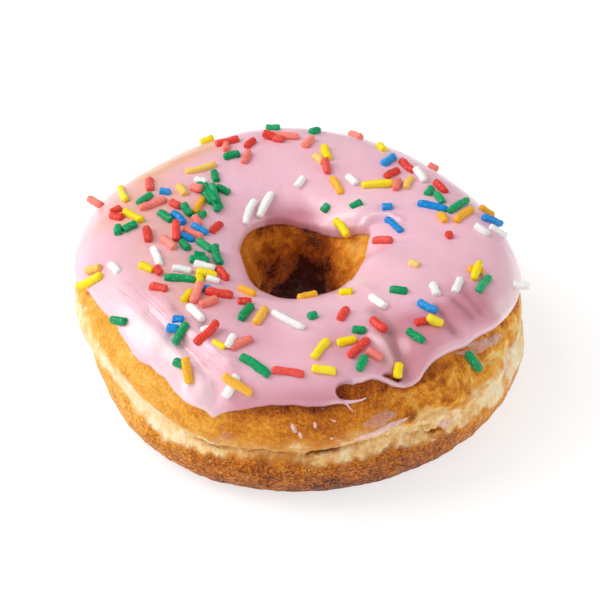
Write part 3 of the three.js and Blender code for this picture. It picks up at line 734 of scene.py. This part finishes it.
sprinkle = {
    "radius": 0.9, "proud": 0.3, "levelBeyond": 45,
    "stack": 1.2,  # least distance between the axes of two that cross
    "long": 6,  # pieces of this length lie across others, and others on them
    "rings": 10, "sides": 8, "blunt": 7,
    "bend": 0.25, "knobs": 0.19, "girths": (0.94, 1.08), "tones": (0.3, 0.7), "shapeSeed": 9,
    # trails as they fall from a shaken hand: x, y, heading, pieces by colour and length, and for more
    # than one the bearing and mm of the step to the next and its turn
    "trails": [
        (-6.4, 41.6, 165, "g3.3"), (-4.5, 36.9, 173, "p8"), (-7.2, 36.3, 170, "r3 r2.6", -25, 2.3, 0),
        (3.1, 40, 47, "g2.8 p4", 255, 5.8, 16), (12.4, 41, 105, "p5.8 y3.4", -49, 8.7, 0),
        (23.5, 26.7, 122, "r5.2 w4.4", -56, 4.8, -4), (19.5, 28.6, 56, "b4.7 r4.2", -84, 5.1, -12),
        (21, 19.4, 78, "p3.6 a4.3", 20, 2.7, -8), (16.8, 19.6, 5, "y7"), (11.3, 21.2, 126, "w3.3"),
        (29.6, 31.7, 157, "p2.4"), (5.6, 30.6, 100, "y5"), (4, 28.2, 125, "a3.2"), (5.6, 25.3, 100, "r4"),
        (8, 19.7, 111, "o5.4"), (-0.1, 21.2, 60, "w3"), (-11.1, 12.6, 83, "w6.8 w7", 39, 4.4, -7),
        (-21.3, 39.6, 5, "y3.3"), (-16.6, 35, 17, "r5.5 r3.5", -14, 5.3, 40), (-16.8, 32.4, 95, "p3"),
        (-15.4, 28.9, 20, "g3.7 p4.5", -10, 3.4, 58), (-22, 24.1, 24, "a7.3"), (-18.7, 21.2, 103, "g3.6"),
        (-20.6, 15.6, 118, "g7 g7.4 g6.5", -30, 1.3, -3), (-16.9, 17, 150, "g3.4 g4", 253, 4.9, -35),
        (-21.7, 19.5, 155, "w3"), (-22.5, 16.5, 150, "p3"), (-32.8, 18.6, 98, "r4.8 g4.5", 263, 5.6, -45),
        (-38.5, 17, 110, "y8.5"), (-29.3, 15.5, 170, "b2.3 a3.6", 11, 3.7, -52), (-31.6, 11.2, 34, "p6.5"),
        (-26.7, 11.3, 145, "r2.9 g3.2", -40, 3.1, -15), (-21.8, 11.6, 73, "o5.3 g3.4", -86, 3.2, -31),
        (-22.1, 6, 130, "p2.6"), (-28.6, 7, 134, "g4.1 b4.3", -6, 2.8, -9),
        (-39.3, 10, 15, "r2.6 r3.4", -82, 2.7, -45), (-35.4, 6.9, 138, "y5.8"),
        (-38.2, 2.3, 95, "g2.9 g3.3", 18, 2.5, -58), (-31.9, 0.3, 98, "r5"),
        (-21.3, 3.7, 151, "b4.1 p4.7 b3.7", 235, 2.2, 0), (-18, 5.7, 59, "r4.3"),
        (-26, 0.9, 95, "r5.2 p4.7", 248, 3.7, 33), (-23.9, -3, 120, "g3.2"),
        (-20.8, -6.2, 175, "g2.4 g4.1", -88, 1.6, 13), (-19.9, -2.3, 141, "g4.4 g5.3", -54, 4.1, -31),
        (-29.4, -7.5, 107, "w6.4"), (5.6, 14.5, 50, "g2"), (12.4, 13.1, 30, "g2.8 b2.3", -10, 6.5, -30),
        (9.4, 8.9, 113, "y5.4"), (20.1, 6.3, 122, "b6 r4.6", 238, 4.7, 36), (31.3, 1.1, 29, "r1.3"),
        (23.6, -9, 150, "a2.3"), (28, 17.1, 62, "g2.9 g3.8", -51, 3.2, 50), (30.5, 19, 118, "r4.6"),
        (28.4, 11.6, 158, "b6.7 o3.2", -65, 4.6, -50), (33.9, 12.1, 50, "g7.2 o6.4", -75, 3.5, 1),
        (40.3, 14.1, 12, "o3.9 b6.5", -78, 4.1, 15), (42, 6, 2, "w4.4"), (38.3, 3.9, 139, "w3.6"),
        (-42.5, -7.8, 165, "a4.3 y7.2", 258, 2.9, 12), (-37.8, -10.3, 125, "w4"),
        (-31.2, -11.3, 143, "y3.8 r2", -31, 2.9, -3), (-28.3, -17.9, 163, "r3.8"),
        (-24, -11.6, 168, "w4 w4.5", 22, 4.8, 4), (-19, -12.2, 178, "y4.3 r4.2", 18, 3.3, -58),
        (-24.2, -14.8, 176, "g6.3"), (-20.3, -14.7, 95, "y3 b2.4", -67, 3, 75), (-17.6, -14.2, 172, "w2.8"),
        (-22.3, -20.4, 63, "y3.7 p5.4", 16, 1.8, 13), (-16.1, -18.9, 178, "r5.7 p4.1", 239, 3.7, 40),
        (-10.6, -16.1, 146, "o4 r2.8", 266, 4.6, 39), (-20.4, -25.5, 126, "w5.2"),
        (-10.5, -24.5, 67, "g5.3 o5.5", -17, 3.1, 4), (-35.8, -24.5, 160, "g4.1"),
        (-23.7, -27.6, 172, "b2.3 b2.5", 246, 2.2, -12), (-23, -31.2, 62, "g5"),
        (-17.7, -30.3, 20, "w3 r6.4", 266, 1.5, 27), (-15.4, -34.4, 143, "y3"),
        (-13.1, -33.6, 75, "w3.6 p5", -8, 2, -40), (-2.1, -26.7, 141, "w8.2"), (2.7, -25, 30, "g1.9"),
        (-8.2, -38.9, 140, "g7"), (-1.9, -40.2, 172, "r6.3 y4.7", 5, 6.9, 0), (4.3, -34.9, 60, "y5.6"),
        (9.4, -32.7, 20, "y3.9 g2.7", 53, 4.1, -25), (8.8, -24.5, 70, "r4"), (15.7, -27.6, 128, "r4.3"),
        (11.7, -34.3, 51, "r6 g3.4", -80, 3.6, 21), (14.8, -35.6, 156, "p3.3"), (19.4, -37.1, 98, "y3.1"),
        (1.7, -14.9, 30, "o4.3"), (9.6, -15.5, 172, "y2.8"), (15.8, -20.3, 126, "w5"),
        (20.1, -17.2, 165, "g3.6 b4.5", -44, 7.6, -22), (24, -27, 20, "r2.3 y3.4", 0, 2.8, -28),
        (22.9, -30.7, 140, "g4.2"), (27.4, -17.1, 104, "w3.6 w4.4", 18, 4.9, -32),
        (36.1, -10.2, 175, "o3.3 y4.6", 264, 1, -100), (37.4, -13.9, 63, "g6"), (45, -9.4, 172, "w3.6"),
        (-23, -36.7, 150, "g2.4 o5.2", -40, 2.4, -67), (-12.7, -42, 62, "w5"), (-11.4, -42, 138, "o6.6"),
        (-44, 17.8, 140, "p4.2"),
    ],
    "onCrust": (319, 38, 148, 5.5, "g"),  # on the bare crust: azimuth, profile, heading, length, colour
    # each kind's name, slot and colour; apricot is a paler orange
    "kinds": {"r": ("red", "red", (236, 66, 52)), "p": ("pink", "pink", (255, 134, 118)),
              "o": ("orange", "orange", (255, 184, 40)), "a": ("apricot", "orange", (255, 206, 104)),
              "y": ("yellow", "yellow", (255, 226, 0)), "g": ("green", "green", (0, 158, 92)),
              "b": ("blue", "blue", (0, 142, 222)), "w": ("white", "white", (255, 254, 252))},
}


def profileAt(azimuth, distance):  # profile angle that far from the axis, by halving
    low, high = around(azimuth, icing["outer"]) + 6, around(azimuth, icing["hole"]) - 5
    for _ in range(24):
        middle = (low + high) / 2
        x, y, _z = surface(azimuth, middle, icing["thickness"])
        if math.hypot(x, y) > distance:
            low = middle
        else:
            high = middle
    return (low + high) / 2


def crossing(piece, laid):
    # the nearest laid piece that this one would cut: where along this one, and how far to rise over it
    steps = np.linspace(-0.85, 0.85, 9)
    nearest, found = sprinkle["stack"], None
    own = piece["centre"] + piece["axis"] * steps[:, None] * piece["length"] / 2
    for other in laid:
        others = other["centre"] + other["axis"] * steps[:, None] * other["length"] / 2
        apart = others[None] - own[:, None]
        distance = length(apart)
        i, j = np.unravel_index(distance.argmin(), distance.shape)
        if distance[i, j] < nearest:
            nearest = distance[i, j]
            up = apart[i, j] @ piece["normal"]
            aside = apart[i, j] @ apart[i, j] - up * up
            found = steps[i], up + math.sqrt(max(sprinkle["stack"] ** 2 - aside, 0))
    return found


def laidFlat(heading, normal):  # heading, less its part along the normal
    axis = np.array([cosd(heading), sind(heading), 0])
    return unit(axis - normal * (axis @ normal))


def scatter():
    # every piece, in the order in which they fell
    laid, pieces = [], []
    for x0, y0, heading, words, *course in sprinkle["trails"]:
        bearing, step, turn = course or (0, 0, 0)
        for i, word in enumerate(words.split()):
            size = float(word[1:])
            x, y = x0 + i * step * cosd(bearing), y0 + i * step * sind(bearing)
            azimuth, distance = math.degrees(math.atan2(y, x)), math.hypot(x, y)
            profile = profileAt(azimuth, distance)
            normal = normalAt(azimuth, profile, icing["thickness"])
            lift = icing["thickness"] + humps(azimuth, profile, icing["humps"]) + sprinkle["proud"]
            centre = surface(azimuth, profile, lift)
            level = distance > sprinkle["levelBeyond"]  # stands off the side
            centre = centre + normal * level * size / 4
            axis = laidFlat(heading + i * turn, normal * (not level))
            piece = {"centre": centre, "axis": axis, "length": size, "normal": normal, "colour": word[0]}
            over = crossing(piece, laid)
            if over:  # one end stays on the icing, the rest lies across the other
                spot, height = over
                height = height / (1 + abs(spot))
                centre = centre + normal * height
                axis = unit(axis + normal * (-2 if spot < 0 else 2) * height / size)
                piece.update(centre=centre, axis=axis)
            pieces.append(piece)
            if size >= sprinkle["long"] or not over:
                laid.append(piece)
    azimuth, profile, heading, size, colour = sprinkle["onCrust"]
    normal, centre = normalAt(azimuth, profile), surface(azimuth, profile, sprinkle["proud"])
    axis = laidFlat(heading, normal)
    return pieces + [{"centre": centre, "axis": axis, "length": size, "normal": normal, "colour": colour}]


def sprinkleFinish(name, colour):
    finish = Finish(name + "Sugar", Specular_IOR_Level=0.14, Coat_Weight=0.14, Coat_Roughness=0.12,
                    Subsurface_Weight=0.15, Subsurface_Scale=0.0006, Subsurface_Radius=(1.0, 0.7, 0.6))
    tone, fine = finish.attribute("tone"), finish.noise(0.45, 3)
    dark = [0.82 * c for c in colour]
    pale, glintPale = ([c + (255 - c) * share for c in colour] for share in (0.28, 0.55))
    base = finish.ramp(tone + (fine - 0.5) * 0.5, [(0, *dark), (0.5, *colour), (1, *pale)])
    # pale flecks: painted highlights
    paintedGlints = finish.noise(0.5, 2).step(0.6, 0.68)
    base = finish.mix(paintedGlints * 0.4, base, glintPale)
    height = finish.noise(0.8, 2) + fine * 0.5
    return finish.feed(Base_Color=base, Roughness=0.36 + (fine - 0.5) * 0.2,
                       Normal=finish.bump(height, 0.25, 0.9))


def rods(pieces, dice):
    # radius(s) = R·(1 − |s|^blunt)^(1/blunt) along a slightly bent axis, s from −1 to 1, with knobs
    rings, sides = sprinkle["rings"], sprinkle["sides"]
    s = np.sin(np.linspace(-1, 1, rings) * math.pi / 2 * 0.93)  # closer towards the ends
    s = np.sign(s) * np.abs(s) ** 0.8
    angle = np.arange(sides) * 2 * math.pi / sides
    points, tones = [], []
    for piece in pieces:
        axis, normal = piece["axis"], piece["normal"]
        right = unit(np.cross(axis, normal))
        up = np.cross(right, axis)
        half = piece["length"] / 2
        radius = sprinkle["radius"] * dice.uniform(*sprinkle["girths"])
        bend = dice.uniform(-1, 1) * sprinkle["bend"] * half / 2.5
        spine = piece["centre"] + axis * (s * half)[:, None] + right * (bend * (s**2 - 0.4))[:, None]
        girth = radius * (1 - np.abs(s) ** sprinkle["blunt"]) ** (1 / sprinkle["blunt"])
        spokes = right * np.cos(angle)[:, None] + up * np.sin(angle)[:, None]
        body = spine[:, None] + spokes[None] * girth[:, None, None]
        knobs = sprinkle["knobs"] * noise(body + 50 * len(points), 1.3, 91, 2)
        body = body + spokes[None] * knobs[..., None] * (girth / radius)[:, None, None]
        ends = piece["centre"] + axis * half * np.array([[-1], [1]]) + right * bend * 0.6
        points.append(np.concatenate([body.reshape(-1, 3), ends]))
        tones.append(np.full(rings * sides + 2, dice.uniform(*sprinkle["tones"])))
    return points, tones


def makeSprinkles():
    dice = np.random.default_rng(sprinkle["shapeSeed"])
    pieces = scatter()
    for letter, (name, slot, colour) in sprinkle["kinds"].items():
        chosen = [piece for piece in pieces if piece["colour"] == letter]
        points, tones = rods(chosen, dice)
        faces = podFaces(len(chosen), sprinkle["rings"], sprinkle["sides"])
        finish = sprinkleFinish(name, colour)
        addPiece(name + "Sprinkles", points, faces, "sprinkle_" + slot, finish, tone=tones)


smears = {
    "rings": 14, "sides": 28, "under": 0.5,
    # azimuth, profile, half length, half width, heading from level, thickness, how opaque
    "patches": [
        (290.4, 12.6, 5.2, 0.95, 14, 0.32, 0.9), (290.2, 21.5, 3.4, 1.5, 10, 0.12, 0.32),
        (309.6, -1.8, 1.1, 1.5, 80, 0.3, 0.9), (332, 7.5, 2.7, 0.6, -85, 0.26, 0.85),
        (323.5, 44.5, 6.8, 1.3, -14, 0.2, 0.4), (327.5, 40.5, 3.6, 0.9, -20, 0.26, 0.5),
        (269.2, 20.5, 1.3, 0.45, -62, 0.3, 0.85), (270.8, 15.2, 0.8, 0.35, -70, 0.25, 0.85),
        (274.3, 23, 0.8, 0.32, -78, 0.25, 0.85), (278.2, 12.2, 0.4, 0.28, 0, 0.22, 0.9),
        (278.9, 26, 0.5, 0.22, -30, 0.22, 0.9), (252.6, 6.5, 1.1, 0.9, 20, 0.2, 0.15),
    ],
}


def smearFinish():
    finish = Finish("icingSmear", Specular_IOR_Level=0.5, Roughness=0.3, Coat_Weight=0.6,
                    Coat_Roughness=0.12)
    fine = finish.noise(1.2, 2) - 0.5
    colour = finish.mix(fine * 1.5 + 0.5, (242, 180, 168), (252, 214, 202))
    alpha = (finish.attribute("opaque") + fine * 0.3).clamp()
    return finish.feed(Base_Color=colour, Alpha=alpha, Normal=finish.bump(fine, 0.1, 0.5))


def makeSmears():
    # a closed lens on the crust, thickness·√(1 − ρ²) high, with its underside sunk
    rings, sides = smears["rings"], smears["sides"]
    turns = (np.arange(rings) + 1) / (rings + 1) * math.pi
    out, high = np.sin(turns)[:, None], np.cos(turns)[:, None]
    angle = np.arange(sides)[None] * 2 * math.pi / sides
    points, opaque = [], []
    for number, (az, pr, halfLong, halfWide, heading, thick, solid) in enumerate(smears["patches"]):
        circle = np.stack([3 * np.cos(angle), 3 * np.sin(angle), 0 * angle + 9 * number], -1)
        ragged = 1 + 0.4 * noise(circle, 2.2, 95, 3)
        x, y = out * np.cos(angle) * ragged * halfLong, out * np.sin(angle) * ragged * halfWide
        body = np.stack([x, y, high + 0 * angle], -1).reshape(-1, 3)
        x, y, h = np.concatenate([body, [(0, 0, 1), (0, 0, -1)]]).T
        level = x * cosd(heading) - y * sind(heading)
        rising = x * sind(heading) + y * cosd(heading)
        perAzimuth = length(surface(az + 0.5, pr) - surface(az - 0.5, pr))
        perProfile = length(surface(az, pr + 0.5) - surface(az, pr - 0.5))
        azimuth, profile = az + level / perAzimuth, pr + rising / perProfile
        place, _fields = crustSurface(azimuth, profile)
        lift = np.where(h > 0, thick * h, smears["under"] * h)
        points.append(place + normalAt(azimuth, profile) * lift[:, None])
        opaque.append(np.full(len(h), solid))
    faces = podFaces(len(points), rings, sides)
    addPiece("glazeSmears", points, faces, "icing", smearFinish(), opaque=opaque)


makeDough()
makeIcing()
makeThreads()
makeSprinkles()
makeSmears()


studio = {
    "target": (-0.0003, -0.0005, 0.015), "elevation": 39.8, "distance": 0.377, "roll": 0.8,
    "lens": 104.75, "shift": (0.00283, 0.00417),
    "sky": 0.44, "floorSize": 6, "floorGlow": 0.66,
    # direction of each soft box, its distance, width, height and watts
    "boxes": [((-0.75, 0.05, 0.66), 0.85, 0.55, 0.9, 6.2), ((0.9, -0.25, 0.45), 1.0, 0.7, 0.7, 2.4),
              ((-0.6, -0.75, 0.35), 1.0, 0.6, 0.6, 1.0)],
}


def makeStudio():
    half = studio["floorSize"] / 2
    mesh = bpy.data.meshes.new("studioFloor")
    corners = [(-half, -half, 0), (half, -half, 0), (half, half, 0), (-half, half, 0)]
    mesh.from_pydata(corners, [], [(0, 1, 2, 3)])
    finish = Finish("palePaper", Roughness=0.9, Specular_IOR_Level=0.1, Base_Color=(0.45, 0.45, 0.45, 1),
                    Emission_Color=(1, 1, 1, 1), Emission_Strength=studio["floorGlow"])
    mesh.materials.append(finish.material)
    floor = addObject("studioFloor", mesh)
    world = bpy.data.worlds.new("paleStudio")
    world.use_nodes = True
    sky = world.node_tree.nodes["Background"].inputs
    sky["Color"].default_value = (1, 1, 1, 1)
    sky["Strength"].default_value = studio["sky"]
    bpy.context.scene.world = world
    target = Vector(studio["target"])
    for number, (direction, distance, width, height, watts) in enumerate(studio["boxes"]):
        lamp = bpy.data.lights.new(f"softBox{number}", "AREA")
        lamp.shape, lamp.size, lamp.size_y, lamp.energy = "RECTANGLE", width, height, watts
        box = addObject(lamp.name, lamp)
        box.location = target + Vector(direction).normalized() * distance
        box.rotation_euler = Vector(direction).to_track_quat("Z", "Y").to_euler()
    elevation = math.radians(studio["elevation"])
    camera = addObject("studioCamera", bpy.data.cameras.new("studioCamera"))
    camera.data.lens, camera.data.sensor_width, camera.data.clip_start = studio["lens"], 36, 0.01
    camera.data.shift_x, camera.data.shift_y = studio["shift"]
    tilt = Matrix.Rotation(math.pi / 2 - elevation, 4, "X")
    tilt = tilt @ Matrix.Rotation(math.radians(studio["roll"]), 4, "Z")
    away = Vector((0, -math.cos(elevation), math.sin(elevation))) * studio["distance"]
    camera.matrix_world = Matrix.Translation(target + away) @ tilt
    bpy.context.scene.camera = camera
    bpy.context.scene.view_settings.view_transform = "Standard"
    print("studio made")


makeStudio()
